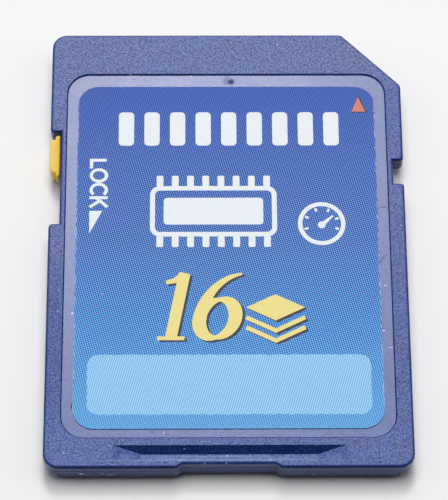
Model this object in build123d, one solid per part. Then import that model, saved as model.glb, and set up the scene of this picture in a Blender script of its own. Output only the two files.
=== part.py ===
from build123d import *
import os
from math import sqrt

# Memory card lying on its back, label up. Millimetres. The origin is the middle of the back face,
# +Y points to the contact end and +Z out of the label.

# Card outline
card_width = 24.0
card_length = 32.0
card_thickness = 2.1
corner_radius = 1.0
corner_cut = 4.0
cut_radius = 0.5
rim_radius = 0.2
seam_height = 1.4
seam_bevel = 0.03
level_band = 0.001

# Side rails and the edges of the thick middle
rail_thickness = 1.4
rail_width = 0.8
rail_edge_radius = 0.45
back_edge_radius = 0.5
core_corner_radius = 0.45
lead_in_height = 0.35
lead_in_length = 0.8

# Lock notch on the left side, measured from the near end
lock_notch_depth = 0.72
lock_notch_length = 6.93
lock_notch_start = 17.45
lock_notch_radius = 0.28

# Latch notch on the right side, measured from the near end
latch_notch_depth = 0.72
latch_notch_length = 1.74
latch_notch_start = 20.44
latch_notch_radius = 0.22

# Finger recess in the near end wall
grip_width = 6.0
grip_depth = 0.25
grip_slant = 0.4

# Thumb groove across the label face: slanted far side, flat floor, steep near side, ramps at its ends
groove_length = 15.1
groove_width = 1.0
groove_depth = 0.5
groove_slant = 0.47
groove_draft = 0.05
groove_ramp = 1.85
groove_from_end = 0.54
groove_offset = 0.07

# Label recess and label
recess_side_margin = 1.145
recess_far_margin = 3.2
recess_near_margin = 2.1
recess_depth = 0.12
recess_bevel = 0.08
recess_radius = 1.5
label_side_gap = 0.715
label_far_gap = 0.93
label_near_gap = 0.58
label_thickness = 0.08
label_radius = 1.4
gate_diameter = 0.4
gate_floor_diameter = 0.1
gate_depth = 0.04
gate_from_recess = 0.5
gate_offset = 0.33

# Hollow between the case halves
side_wall = 1.6
far_wall = 0.7
near_wall = 2.0
cut_wall = 0.7
lid_wall = 0.28
inner_radius = 0.3
lip_thickness = 0.35
lip_height = 0.2
lip_clearance = 0.05
relief_depth = 0.25
relief_rib = 1.0
relief_columns = 2
relief_rows = 3

# Lock slider and its guide
slider_length = 3.06
slider_end_gap = 0.25
slider_drop = 0.08
slider_gap = 0.05
slider_corner_radius = 0.38
slider_shoulder_radius = 0.2
slider_edge_radius = 0.1
slider_bevel = 0.1
peg_length = 0.3
peg_width = 0.32
peg_radius = 0.15
foot_length = 0.24
foot_width = 0.25
foot_radius = 0.1
guide_web = 0.25
neck_thickness = 0.4
head_thickness = 0.7
head_depth = 0.35
head_length = 2.3
guide_wall = 0.9

# Circuit board and its contacts
board_thickness = 0.3
board_clearance = 0.1
board_play = 0.03
contact_depth = 0.7
pad_thickness = 0.05
pad_width = 1.7
pad_length = 3.9
pad_from_end = 1.0
narrow_pad_width = 1.1
pad_pitch = 2.5
pad_pitch_6_7 = 2.4
pad_pitch_7_8 = 1.7
pad_8_from_side = 1.9
pad_9_length = 3.4
pad_9_from_end = 3.25
window_margin = 0.1
post_diameter = 0.9
post_inset = 0.8

# Flash memory package
flash_width = 15.4
flash_length = 12.0
flash_height = 0.5
flash_standoff = 0.05
flash_bevel = 0.08
flash_from_edge = 1.2
lead_count = 24
lead_pitch = 0.5
lead_width = 0.2
lead_thickness = 0.1
lead_shoulder = 0.15
lead_slope = 0.12
lead_foot = 0.5

# Controller package
controller_size = 8.0
controller_height = 0.5
controller_offset = 1.6
controller_gap = 2.0
controller_bevel = 0.5
terminal_count = 14
terminal_pitch = 0.5
terminal_width = 0.25
terminal_length = 0.45
terminal_height = 0.05

# Chip capacitors and resistors
capacitor_count = 4
capacitor_length = 1.0
capacitor_width = 0.5
capacitor_height = 0.5
capacitor_pitch = 1.9
resistor_count = 6
resistor_length = 1.0
resistor_width = 0.5
resistor_height = 0.35
resistor_pitch = 1.3
cap_length = 0.22
cap_rise = 0.02
passive_gap = 1.2

# Heights and limits worked out from the sizes above
half_width = card_width / 2
half_length = card_length / 2
rail_underside = card_thickness - rail_thickness
recess_floor = card_thickness - recess_depth
ceiling = recess_floor - lid_wall
board_bottom = contact_depth + pad_thickness
board_top = board_bottom + board_thickness
lock_low = lock_notch_start - half_length
lock_high = lock_low + lock_notch_length
lock_wall = lock_notch_depth - half_width
latch_low = latch_notch_start - half_length
latch_high = latch_low + latch_notch_length
recess_half_width = half_width - recess_side_margin
recess_low = recess_near_margin - half_length
recess_high = half_length - recess_far_margin

# Lock slider limits
slider_travel = lock_notch_length - slider_length - 2 * slider_end_gap
slider_high = lock_high - slider_end_gap
slider_low = slider_high - slider_length
slider_inner = lock_wall - slider_gap
head_start = lock_wall + guide_web + slider_gap
head_end = head_start + head_depth
head_middle = (slider_low + slider_high - peg_length) / 2
guide_inner = head_end + slider_gap + guide_wall
guide_low = lock_low - guide_wall
guide_high = lock_high + guide_wall


def block(x0, x1, y0, y1, z0, z1):
    """Box between two opposite corners."""
    middle = Pos((x0 + x1) / 2, (y0 + y1) / 2, (z0 + z1) / 2)
    return middle * Box(x1 - x0, y1 - y0, z1 - z0)


def prism(plan, z0, z1):
    """Plan face drawn up from one height to another."""
    return extrude(Pos(0, 0, z0) * plan, z1 - z0, dir=(0, 0, 1))


def rounded_plan(corners):
    """Closed plan face from (x, y, corner radius) triples."""
    points = [(x, y) for x, y, radius in corners]
    radii = [radius for x, y, radius in corners]
    return make_face(FilletPolyline(*points, radius=radii, close=True))


def rounded_rectangle(x0, x1, y0, y1, radius):
    """Rectangle between two opposite corners, with round corners."""
    corners = [(x0, y0, radius), (x1, y0, radius), (x1, y1, radius), (x0, y1, radius)]
    return rounded_plan(corners)


def cut_line(inset):
    """Sum of x and y along the cut corner's edge, moved in by inset."""
    return half_width + half_length - corner_cut - sqrt(2) * inset


def card_outline():
    """Card outline with its cut corner, without notches."""
    return rounded_plan([
        (-half_width, -half_length, corner_radius),
        (half_width, -half_length, corner_radius),
        (half_width, half_length - corner_cut, cut_radius),
        (half_width - corner_cut, half_length, cut_radius),
        (-half_width, half_length, corner_radius),
    ])


def notch_plan(edge, wall, low, high, lip):
    """Plan of a side notch whose lips round out to the edge, closed outside the card."""
    outside = 2 * edge - wall
    start = low - 2 * lip
    end = high + 2 * lip
    inner = FilletPolyline(
        (edge, start), (edge, low), (wall, low), (wall, high), (edge, high), (edge, end),
        radius=[lip, 0, 0, lip],
    )
    outer = Polyline((edge, end), (outside, end), (outside, start), (edge, start))
    return make_face(inner + outer)


def grip_plan():
    """Plan of the finger recess, its slanted ends carried on outside the card."""
    floor = grip_depth - half_length
    outside = -grip_depth - half_length
    inner = grip_width / 2
    outer = inner + 2 * grip_slant
    return make_face(Polyline((-inner, floor), (inner, floor), (outer, outside), (-outer, outside), close=True))


def edge_cuts(z0, z1):
    """Both side notches and the finger recess, from one height to another."""
    latch_wall = half_width - latch_notch_depth
    plans = [
        notch_plan(-half_width, lock_wall, lock_low, lock_high, lock_notch_radius),
        notch_plan(half_width, latch_wall, latch_low, latch_high, latch_notch_radius),
        grip_plan(),
    ]
    return [prism(plan, z0, z1) for plan in plans]


def inner_plan(inset):
    """Plan of the hollow, moved in by inset, stepping round the lock guide."""
    x0 = side_wall - half_width + inset
    x1 = -x0
    y0 = near_wall - half_length + inset
    y1 = half_length - far_wall - inset
    diagonal = cut_line(cut_wall + inset)
    return rounded_plan([
        (x0, y0, inner_radius),
        (x1, y0, inner_radius),
        (x1, diagonal - x1, inner_radius),
        (diagonal - y1, y1, inner_radius),
        (x0, y1, inner_radius),
        (x0, guide_high + inset, inner_radius),
        (guide_inner + inset, guide_high + inset, inner_radius),
        (guide_inner + inset, guide_low - inset, inner_radius),
        (x0, guide_low - inset, inner_radius),
    ])


def edges_at(shape, height):
    """Outer edges of the largest flat face at a height."""
    flats = shape.faces().filter_by(Plane.XY)
    level = flats.filter_by_position(Axis.Z, height - level_band, height + level_band)
    return level.sort_by(SortBy.AREA)[-1].outer_wire().edges()


def guide_cut():
    """T-shaped guide for the slider's head, half in each case half."""
    head_half = head_length / 2
    y0 = head_middle - head_half - slider_travel - slider_gap
    y1 = head_middle + head_half + slider_gap
    neck_half = neck_thickness / 2 + slider_gap
    chamber_half = head_thickness / 2 + slider_gap
    neck = block(lock_wall - slider_gap, head_start, y0, y1, seam_height - neck_half, seam_height + neck_half)
    chamber = block(
        head_start - slider_gap, head_end + slider_gap, y0, y1,
        seam_height - chamber_half, seam_height + chamber_half,
    )
    return neck + chamber


def thumb_groove():
    """Groove with ramps at its ends: its section along X met by a trapezium along Y."""
    near = groove_from_end - half_length
    far = near + groove_width
    bottom = card_thickness - groove_depth
    half_top = groove_length / 2
    half_bottom = half_top - groove_ramp
    across = Polyline(
        (near, card_thickness), (near + groove_draft, bottom),
        (far - groove_slant, bottom), (far, card_thickness), close=True,
    )
    along = Polyline(
        (-half_top, card_thickness), (-half_bottom, bottom),
        (half_bottom, bottom), (half_top, card_thickness), close=True,
    )
    channel = extrude(Plane.YZ * make_face(across), groove_length, both=True)
    ramps = extrude(Plane.XZ * make_face(along), half_length, both=True)
    return Pos(groove_offset, 0, 0) * (channel & ramps)


def label_recess():
    """Shallow recess for the label, with a bevelled rim."""
    plan = rounded_rectangle(-recess_half_width, recess_half_width, recess_low, recess_high, recess_radius)
    mouth = offset(plan, recess_bevel)
    rim = extrude(Pos(0, 0, card_thickness) * mouth, recess_bevel, dir=(0, 0, -1), taper=45)
    return [prism(plan, recess_floor, card_thickness), rim]


def gate_dimple():
    """Cone left by the moulding gate in the recess floor."""
    low = gate_floor_diameter / 2
    place = Pos(gate_offset, recess_high - gate_from_recess, recess_floor)
    return place * Cone(low, gate_diameter - low, 2 * gate_depth)


def post_places():
    """Corners of the board where the lid's posts hold it down."""
    reach = board_clearance + post_inset
    x0 = side_wall - half_width + reach
    y0 = near_wall - half_length + reach
    y1 = half_length - far_wall - reach
    cut_end = cut_line(cut_wall + board_clearance) - y1
    return [(x0, y0), (-x0, y0), (x0, y1), (cut_end - 2 * post_inset, y1)]


def make_front_case():
    """Upper case half: rim, label recess, thumb groove, hollow, posts and guide."""
    body = prism(card_outline(), seam_height, card_thickness)
    body -= edge_cuts(seam_height, card_thickness)
    body = fillet(edges_at(body, card_thickness), rim_radius)
    body = chamfer(edges_at(body, seam_height), seam_bevel)
    body -= label_recess()
    body -= thumb_groove()
    body -= gate_dimple()
    body -= prism(inner_plan(-lip_thickness - lip_clearance), seam_height, ceiling)
    for x, y in post_places():
        post_length = ceiling - board_top - board_play
        place = Pos(x, y, ceiling - post_length / 2)
        body += place * Cylinder(post_diameter / 2, post_length)
    return body - guide_cut()


def side_body():
    """Side profile of the thick middle, across the whole card: round near edge and lead-in."""
    profile = FilletPolyline(
        (-half_length, seam_height), (-half_length, 0), (half_length - lead_in_length, 0),
        (half_length, lead_in_height), (half_length, seam_height),
        radius=[0, back_edge_radius, 0, 0, 0], close=True,
    )
    return extrude(Plane.YZ * make_face(profile), half_width, both=True)


def grip_heel():
    """Cut that rounds the finger recess's lower edge like the rest of the near end."""
    half = grip_width / 2
    floor = grip_depth - half_length
    outside = -grip_depth - half_length
    corner = block(-half, half, outside, floor + back_edge_radius, -back_edge_radius, back_edge_radius)
    return corner - Pos(0, grip_depth, 0) * side_body()


def core_body():
    """Thick middle of the back: a side profile met by the plan between the rails."""
    inner = half_width - rail_width
    diagonal = cut_line(rail_width)
    plan = rounded_plan([
        (-inner, -half_length, core_corner_radius),
        (inner, -half_length, core_corner_radius),
        (inner, diagonal - inner, core_corner_radius),
        (diagonal - half_length, half_length, 0),
        (-inner, half_length, 0),
    ])
    return side_body() & prism(plan, 0, seam_height)


def relief_pockets():
    """Shallow pockets that core out the floor under the board, with ribs between."""
    x0 = side_wall - half_width + relief_rib
    y0 = near_wall - half_length + relief_rib
    y1 = guide_low - relief_rib
    step_x = (-2 * x0 + relief_rib) / relief_columns
    step_y = (y1 - y0 + relief_rib) / relief_rows
    pockets = []
    for column in range(relief_columns):
        for row in range(relief_rows):
            left = x0 + column * step_x
            low = y0 + row * step_y
            right = left + step_x - relief_rib
            high = low + step_y - relief_rib
            pockets.append(block(left, right, low, high, board_bottom - relief_depth, board_bottom))
    return pockets


def pad_layout():
    """Contact number to (middle x, width, low y, high y)."""
    row_high = half_length - pad_from_end
    row_low = row_high - pad_length
    nine_high = half_length - pad_9_from_end
    x = pad_8_from_side - half_width
    layout = {8: (x, narrow_pad_width, row_low, row_high)}
    x += pad_pitch_7_8
    layout[7] = (x, narrow_pad_width, row_low, row_high)
    x += pad_pitch_6_7
    for number in range(6, 0, -1):
        layout[number] = (x, pad_width, row_low, row_high)
        x += pad_pitch
    layout[9] = (x, pad_width, nine_high - pad_9_length, nine_high)
    return layout


def contact_window(x, width, low, high):
    """Slot over one contact: through the floor at the pad, open to the leading edge."""
    half = width / 2 + window_margin
    through = block(x - half, x + half, low - window_margin, high + window_margin, 0, board_bottom)
    mouth = block(x - half, x + half, low - window_margin, half_length, 0, contact_depth)
    return through + mouth


def make_back_case():
    """Lower case half: rails, thick middle, hollow, welding lip, contact comb and guide."""
    rails = prism(card_outline(), rail_underside, seam_height)
    rails = fillet(edges_at(rails, rail_underside), rail_edge_radius)
    body = rails + core_body()
    body -= edge_cuts(0, seam_height)
    body -= grip_heel()
    body = chamfer(edges_at(body, seam_height), seam_bevel)
    body -= prism(inner_plan(0), board_bottom, seam_height)
    lip = prism(inner_plan(-lip_thickness), seam_height, seam_height + lip_height)
    body += lip - prism(inner_plan(0), seam_height, seam_height + lip_height)
    body -= relief_pockets()
    for x, width, low, high in pad_layout().values():
        body -= contact_window(x, width, low, high)
    return body - guide_cut()


def make_lock_slider():
    """Slider: rounded tab with a stop peg and foot, and a T head in the guide."""
    outer = -half_width
    shoulder = slider_high - peg_length
    heel = slider_low + foot_length
    tab = rounded_plan([
        (slider_inner, slider_low, 0),
        (slider_inner, slider_high, 0),
        (slider_inner - peg_width, slider_high, peg_radius),
        (slider_inner - peg_width, shoulder, 0),
        (outer, shoulder, slider_shoulder_radius),
        (outer, heel, slider_corner_radius),
        (slider_inner - foot_width, heel, 0),
        (slider_inner - foot_width, slider_low, foot_radius),
    ])
    bottom = rail_underside + slider_drop
    top = card_thickness - slider_drop
    body = prism(tab, bottom, top)
    body = fillet(edges_at(body, top), slider_edge_radius)
    body = chamfer(edges_at(body, bottom), slider_bevel)
    head_half = head_length / 2
    y0 = head_middle - head_half
    y1 = head_middle + head_half
    neck_half = neck_thickness / 2
    thick_half = head_thickness / 2
    body += block(slider_inner, head_end, y0, y1, seam_height - neck_half, seam_height + neck_half)
    body += block(head_start, head_end, y0, y1, seam_height - thick_half, seam_height + thick_half)
    return body


def make_label():
    """Film label on the floor of its recess."""
    half = recess_half_width - label_side_gap
    plan = rounded_rectangle(-half, half, recess_low + label_near_gap, recess_high - label_far_gap, label_radius)
    return prism(plan, recess_floor, recess_floor + label_thickness)


def make_flash(low):
    """Flash package body, its lower edge in plan at low."""
    bottom = board_top + flash_standoff
    half = flash_width / 2
    body = block(-half, half, low, low + flash_length, bottom, bottom + flash_height)
    return chamfer(edges_at(body, bottom + flash_height), flash_bevel)


def make_flash_leads(low):
    """Gull-wing leads on the two short sides of the flash package."""
    side = flash_width / 2
    middle = board_top + flash_standoff + flash_height / 2
    half = lead_thickness / 2
    knee = side + lead_shoulder
    ankle = knee + lead_slope
    toe = ankle + lead_foot
    profile = Polyline(
        (side, middle + half), (knee + half, middle + half), (ankle + half, board_top + lead_thickness),
        (toe, board_top + lead_thickness), (toe, board_top), (ankle - half, board_top),
        (knee - half, middle - half), (side, middle - half), close=True,
    )
    lead = extrude(Plane.XZ * make_face(profile), lead_width / 2, both=True)
    first = low + flash_length / 2 - lead_pitch * (lead_count - 1) / 2
    leads = []
    for index in range(lead_count):
        right = Pos(0, first + index * lead_pitch, 0) * lead
        leads.append(right)
        leads.append(mirror(right, about=Plane.YZ))
    return Compound(children=leads)


def make_controller(x, y):
    """Controller package, with its first corner cut."""
    bottom = board_top + terminal_height
    half = controller_size / 2
    body = block(x - half, x + half, y - half, y + half, bottom, bottom + controller_height)
    first_corner = body.edges().filter_by(Axis.Z).sort_by(Axis.X)[:2].sort_by(Axis.Y)[-1]
    return chamfer(first_corner, controller_bevel)


def make_terminals(x, y):
    """Solder lands under the four sides of the controller."""
    reach = controller_size / 2
    start = -terminal_pitch * (terminal_count - 1) / 2
    lands = []
    for turn in range(4):
        for index in range(terminal_count):
            place = start + index * terminal_pitch
            half = terminal_width / 2
            land = block(
                place - half, place + half, reach - terminal_length, reach,
                board_top, board_top + terminal_height,
            )
            lands.append(Pos(x, y, 0) * Rot(0, 0, 90 * turn) * land)
    return Compound(children=lands)


def make_passive(x, y, length, width, height):
    """Chip part lying along X: a body between two slightly larger metal caps."""
    half = length / 2
    side = width / 2
    body = block(
        x - half, x + half, y - side + cap_rise, y + side - cap_rise,
        board_top + cap_rise, board_top + height - cap_rise,
    )
    for start in (x - half, x + half - cap_length):
        body += block(start, start + cap_length, y - side, y + side, board_top, board_top + height)
    return body


def make_parts():
    """Every sub-part by its name."""
    flash_low = near_wall - half_length + board_clearance + flash_from_edge
    controller_x = controller_offset
    controller_y = flash_low + flash_length + controller_gap + controller_size / 2
    parts = {
        "front_case": make_front_case(),
        "back_case": make_back_case(),
        "lock_slider": make_lock_slider(),
        "front_label": make_label(),
        "circuit_board": prism(inner_plan(board_clearance), board_bottom, board_top),
        "flash_memory": make_flash(flash_low),
        "flash_leads": make_flash_leads(flash_low),
        "controller_chip": make_controller(controller_x, controller_y),
        "controller_terminals": make_terminals(controller_x, controller_y),
    }
    for number, (x, width, low, high) in pad_layout().items():
        half = width / 2
        parts[f"contact_pad_{number}"] = block(x - half, x + half, low, high, contact_depth, board_bottom)
    passive_reach = controller_size / 2 + passive_gap
    for index in range(capacitor_count):
        x = controller_x - passive_reach - capacitor_length / 2
        y = controller_y + (index - (capacitor_count - 1) / 2) * capacitor_pitch
        chip = make_passive(x, y, capacitor_length, capacitor_width, capacitor_height)
        parts[f"capacitor_{index + 1}"] = chip
    for index in range(resistor_count):
        x = controller_x + passive_reach + resistor_length / 2
        y = controller_y + (index - (resistor_count - 1) / 2) * resistor_pitch
        chip = make_passive(x, y, resistor_length, resistor_width, resistor_height)
        parts[f"resistor_{index + 1}"] = chip
    return parts


os.makedirs("parts", exist_ok=True)
for name, shape in make_parts().items():
    export_step(shape, f"parts/{name}.step")
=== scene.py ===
"""Looks of a flash memory card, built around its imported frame.

The card lies on its back with the label up. Sizes in the classes are millimetres in the card's own
frame: +X to the side with the cut corner, +Y to the contact end, +Z out of the label. The origin is
the middle of the back face. Blender's own lengths are metres.
"""
import logging
import math
from dataclasses import dataclass, field
from enum import Enum
from typing import ClassVar, Iterable, Mapping, Sequence, Union

import bpy
import numpy as np
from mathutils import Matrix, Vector
from mathutils.geometry import delaunay_2d_cdt
from numpy.typing import NDArray


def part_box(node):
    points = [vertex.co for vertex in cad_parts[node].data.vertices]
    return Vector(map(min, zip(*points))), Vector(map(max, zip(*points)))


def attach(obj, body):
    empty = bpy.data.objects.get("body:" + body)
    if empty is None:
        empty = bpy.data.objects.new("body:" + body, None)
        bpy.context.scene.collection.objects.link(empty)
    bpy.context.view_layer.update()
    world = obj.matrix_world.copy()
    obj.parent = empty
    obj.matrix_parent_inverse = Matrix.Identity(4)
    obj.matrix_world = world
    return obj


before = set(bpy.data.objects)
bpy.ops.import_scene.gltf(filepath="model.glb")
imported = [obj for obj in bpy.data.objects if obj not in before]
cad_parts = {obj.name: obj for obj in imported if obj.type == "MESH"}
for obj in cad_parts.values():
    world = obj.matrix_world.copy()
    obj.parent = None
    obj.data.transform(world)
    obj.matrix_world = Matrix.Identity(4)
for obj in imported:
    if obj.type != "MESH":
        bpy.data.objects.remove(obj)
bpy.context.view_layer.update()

MM = 0.001
NOISE_MEAN = 0.5
SOFT_DETAIL = 1.0
FINE_DETAIL = 3.0
MIX_FIRST = 6
MIX_SECOND = 7
MIX_RESULT = 2
TINY = 1e-9
log = logging.getLogger("memory_card")

Colour = tuple[float, float, float, float]
Place = tuple[float, float, float]
Pair = tuple[float, float]
Points = NDArray[np.float64]
Indices = NDArray[np.int64]
Socket = bpy.types.NodeSocket
Value = Union[Socket, float]
Paint = Union[Socket, Colour, Place]
Feed = Union[Value, Paint]

ZEROS: Place = (0.0, 0.0, 0.0)
ONES: Place = (1.0, 1.0, 1.0)


class Body(str, Enum):
    """CAD bodies that new pieces ride on."""

    CARD = "card"


class Slot(str, Enum):
    """Material slots of the record, which also name the finishes."""

    CASE = "case_plastic"
    SLIDER = "slider_plastic"
    LABEL = "label_film"
    BOARD = "board"
    GOLD = "gold_contact"
    PACKAGE = "package"
    LEADS = "tinned_leads"
    CAPACITOR = "capacitor_ceramic"
    RESISTOR = "resistor_ceramic"


def srgb(red: float, green: float, blue: float) -> Colour:
    """Linear colour of an 8-bit sRGB one: a straight toe, then a power of 2.4.

    Args:
        red: Red from 0 to 255.
        green: Green from 0 to 255.
        blue: Blue from 0 to 255.

    Returns:
        Linear red, green, blue and an alpha of one.
    """
    share = np.array((red, green, blue)) / 255.0
    toe = share / 12.92
    curve = ((share + 0.055) / 1.055) ** 2.4
    lin = np.where(share <= 0.04045, toe, curve)
    return (float(lin[0]), float(lin[1]), float(lin[2]), 1.0)


def box_mm(node: str) -> tuple[Points, Points]:
    """Lowest and highest corner of a CAD node in millimetres."""
    low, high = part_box(node)
    return np.array(low) / MM, np.array(high) / MM


def heading(angle: float) -> Points:
    """Unit vector at an angle in degrees."""
    return np.array((math.cos(math.radians(angle)), math.sin(math.radians(angle))))


class Graph:
    """Node tree of one finish, with Object coordinates in millimetres."""

    def __init__(self, name: str) -> None:
        """Start a material that holds its Principled shader and the place of each point.

        Args:
            name: Name of the material.
        """
        self.material = bpy.data.materials.new(name)
        self.material.use_nodes = True
        self.tree = self.material.node_tree
        self.shader = self.tree.nodes["Principled BSDF"]
        here = self.node("ShaderNodeTexCoord", {})
        self.facing = here.outputs["Normal"]
        self.place = self.scaled(here.outputs["Object"], 1.0 / MM)
        self.x, self.y, self.z = self.split(self.place)

    def node(self, kind: str, feeds: Mapping[Union[int, str], Feed], **settings: str) -> bpy.types.Node:
        """Add a node, set its properties and feed its inputs.

        Args:
            kind: Blender's name of the node type.
            feeds: Numbers or names of inputs, with an output to link or a value to set.
            settings: Property names with their values.

        Returns:
            The new node.
        """
        made = self.tree.nodes.new(kind)
        for key, value in settings.items():
            setattr(made, key, value)
        for key, feed in feeds.items():
            self.put(made.inputs[key], feed)
        return made

    def put(self, socket: Socket, feed: Feed) -> None:
        """Link a socket to another one, or set a plain value on it.

        Args:
            socket: Input of a node.
            feed: Output of a node, or the value.
        """
        if isinstance(feed, bpy.types.NodeSocket):
            self.tree.links.new(feed, socket)
        else:
            socket.default_value = feed

    def shade(self, name: str, feed: Feed) -> None:
        """Link or set an input of the Principled shader."""
        self.put(self.shader.inputs[name], feed)

    def calc(self, operation: str, first: Value, second: Value = 0.0) -> Socket:
        """Result of a Math node."""
        return self.node("ShaderNodeMath", {0: first, 1: second}, operation=operation).outputs[0]

    def plus(self, first: Value, second: Value) -> Socket:
        """Sum of two numbers."""
        return self.calc("ADD", first, second)

    def less(self, first: Value, second: Value) -> Socket:
        """Difference of two numbers."""
        return self.calc("SUBTRACT", first, second)

    def times(self, first: Value, second: Value) -> Socket:
        """Product of two numbers."""
        return self.calc("MULTIPLY", first, second)

    def vector(self, operation: str, first: Paint, second: Paint = ZEROS, output: str = "Vector") -> Socket:
        """Result of a Vector Math node: its Vector, or its Value where the result is a number."""
        made = self.node("ShaderNodeVectorMath", {0: first, 1: second}, operation=operation)
        return made.outputs[output]

    def length(self, vector: Socket) -> Socket:
        """Length of a vector."""
        return self.vector("LENGTH", vector, output="Value")

    def scaled(self, vector: Paint, factor: Value) -> Socket:
        """Vector or colour times a number."""
        made = self.node("ShaderNodeVectorMath", {0: vector, "Scale": factor}, operation="SCALE")
        return made.outputs[0]

    def split(self, vector: Socket) -> tuple[Socket, ...]:
        """X, Y and Z of a vector."""
        return tuple(self.node("ShaderNodeSeparateXYZ", {0: vector}).outputs)

    def carry(self, value: Value, source: Pair, target: tuple[Value, Value], kind: str = "LINEAR") -> Socket:
        """Number mapped from one span onto another, and clipped to it.

        Args:
            value: Number to map.
            source: Numbers that map to the ends of the target.
            target: Both ends of the result.
            kind: Interpolation between them.

        Returns:
            The mapped number.
        """
        names = ("Value", "From Min", "From Max", "To Min", "To Max")
        feeds = dict(zip(names, (value, *source, *target)))
        return self.node("ShaderNodeMapRange", feeds, interpolation_type=kind).outputs["Result"]

    def ease(self, value: Value, low: float, high: float) -> Socket:
        """Smooth step: 0 at low, 1 at high, with low above high for a falling step.

        Args:
            value: Number to map.
            low: Value that gives 0.
            high: Value that gives 1.

        Returns:
            A number from 0 to 1.
        """
        if low > high:
            return self.carry(value, (high, low), (1.0, 0.0), "SMOOTHSTEP")
        return self.carry(value, (low, high), (0.0, 1.0), "SMOOTHSTEP")

    def remap(self, value: Value, low: Value, high: Value) -> Socket:
        """Straight map of 0 to 1 onto low to high."""
        return self.carry(value, (0.0, 1.0), (low, high))

    def share(self, value: Value, low: float, high: float) -> Socket:
        """Straight map of low to high onto 0 to 1."""
        return self.carry(value, (low, high), (0.0, 1.0))

    def blend(self, factor: Value, first: Paint, second: Paint) -> Socket:
        """Mix of two colours: the first at a factor of 0, the second at 1."""
        feeds = {0: factor, MIX_FIRST: first, MIX_SECOND: second}
        return self.node("ShaderNodeMix", feeds, data_type="RGBA").outputs[MIX_RESULT]

    def noise(self, size: float, detail: float = 2.0, stretch: Place = ONES) -> Socket:
        """Noise from 0 to 1 with features of a size in millimetres.

        Args:
            size: Size of the largest features.
            detail: Number of finer octaves.
            stretch: How much longer the features are along X, Y and Z.

        Returns:
            The noise value.
        """
        place = self.vector("DIVIDE", self.place, stretch)
        feeds = {"Vector": place, "Scale": 1.0 / size, "Detail": detail}
        return self.node("ShaderNodeTexNoise", feeds).outputs["Fac"]

    def ramp(self, value: Socket, stops: Sequence[tuple[float, Colour]]) -> Socket:
        """Colours along a number from 0 to 1.

        Args:
            value: Number to colour.
            stops: Places on the ramp with their colours.

        Returns:
            The colour at the number.
        """
        made = self.node("ShaderNodeValToRGB", {0: value})
        band = made.color_ramp.elements
        while len(band) < len(stops):
            band.new(0.5)
        for stop, (place, colour) in zip(band, stops):
            stop.position = place
            stop.color = colour
        return made.outputs["Color"]

    def bump(self, height: Socket, depth: float) -> None:
        """Shade the surface as if its height ran from 0 to a depth in millimetres."""
        made = self.node("ShaderNodeBump", {"Distance": depth * MM, "Height": height})
        self.shade("Normal", made.outputs["Normal"])

    def screen(self, pitch: float, turn: float, second: float, steepness: float = 1.7) -> Socket:
        """Print screen from -1 to 1: two crossed cosine waves on a turned grid, steepened and clipped.

        Args:
            pitch: Distance between the dots.
            turn: Turn of the grid in degrees.
            second: Strength of the second wave beside the first.
            steepness: Gain before the waves are clipped.

        Returns:
            The height of the summed waves.
        """
        across, along = heading(turn) * math.tau / pitch
        waves = []
        for direction in ((across, along, 0.0), (-along, across, 0.0)):
            phase = self.vector("DOT_PRODUCT", self.place, direction, "Value")
            waves.append(self.calc("COSINE", phase))
        total = self.plus(waves[0], self.times(waves[1], second))
        steep = self.times(total, steepness / (1.0 + second))
        return self.calc("MAXIMUM", self.calc("MINIMUM", steep, 1.0), -1.0)


@dataclass(frozen=True)
class MarkTint:
    """Tint of a mark, for wear or for painted shade or light: its colour, and whether it takes the shine as
    well.
    """

    tint: Colour
    dulls: bool = False


WHITE_WEAR = MarkTint(srgb(226, 228, 236))
DUST = MarkTint(srgb(206, 212, 232))
# Pale blue of painted light in the thumb groove, also used for painted glints on the slopes
PAINTED_LIGHT_BLUE = MarkTint(srgb(150, 166, 214))
# Dark blue for real scuffs and specks, and for painted shade along the near end's top edge
DARK_WEAR_AND_SHADE = MarkTint(srgb(18, 26, 64), True)
GATE_SMUDGE = MarkTint(srgb(92, 99, 138), True)
# Dark blue of painted shade in the gate dimple
GATE_CORE_SHADE = MarkTint(srgb(40, 45, 78), True)
# Darker, duller blue in long bands along both side rails
SIDE_BAND_BLUE = MarkTint(srgb(26, 58, 134), True)
# Grey of painted shade: the floor's shadow mirrored in the foot of the near end wall
PAINTED_FOOT_SHADE = MarkTint(srgb(34, 34, 46), True)


@dataclass(frozen=True)
class Mark:
    """Scuff, speck or smudge on a surface, or a patch of painted shade or light."""

    wear: MarkTint
    centre: Place
    radii: Place
    strength: float = 0.9
    ragged: float = 0.6
    core: ClassVar[float] = 0.5
    noise_share: ClassVar[float] = 0.5

    def cover(self, graph: Graph) -> Socket:
        """How much the mark covers: a ragged ellipsoid about its centre, times its strength.

        Args:
            graph: Node tree of the finish.

        Returns:
            A number from 0 to the strength.
        """
        offset = graph.vector("SUBTRACT", graph.place, self.centre)
        far = graph.length(graph.vector("DIVIDE", offset, self.radii))
        noise = graph.noise(max(self.radii) * self.noise_share, FINE_DETAIL)
        edge = graph.plus(far, graph.times(noise, self.ragged))
        inside = graph.ease(edge, 1.0 + self.ragged * NOISE_MEAN, self.core)
        return graph.times(inside, self.strength)


def scratch(wear: MarkTint, start: Place, end: Place, half_width: float, strength: float) -> tuple[Mark, ...]:
    """Scratch: even marks along a straight line, each longer than the step between them.

    Args:
        wear: Kind of wear.
        start: One end of the line.
        end: Other end of the line.
        half_width: Half the width of the scratch.
        strength: How much it covers.

    Returns:
        The marks.
    """
    overlap = 1.6
    length = float(np.linalg.norm(np.subtract(end, start)))
    count = 1 + round(length / half_width)
    radii = (overlap * half_width, overlap * half_width, half_width)
    rows = np.linspace(start, end, count).tolist()
    return tuple(Mark(wear, tuple(row), radii, strength) for row in rows)


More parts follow.
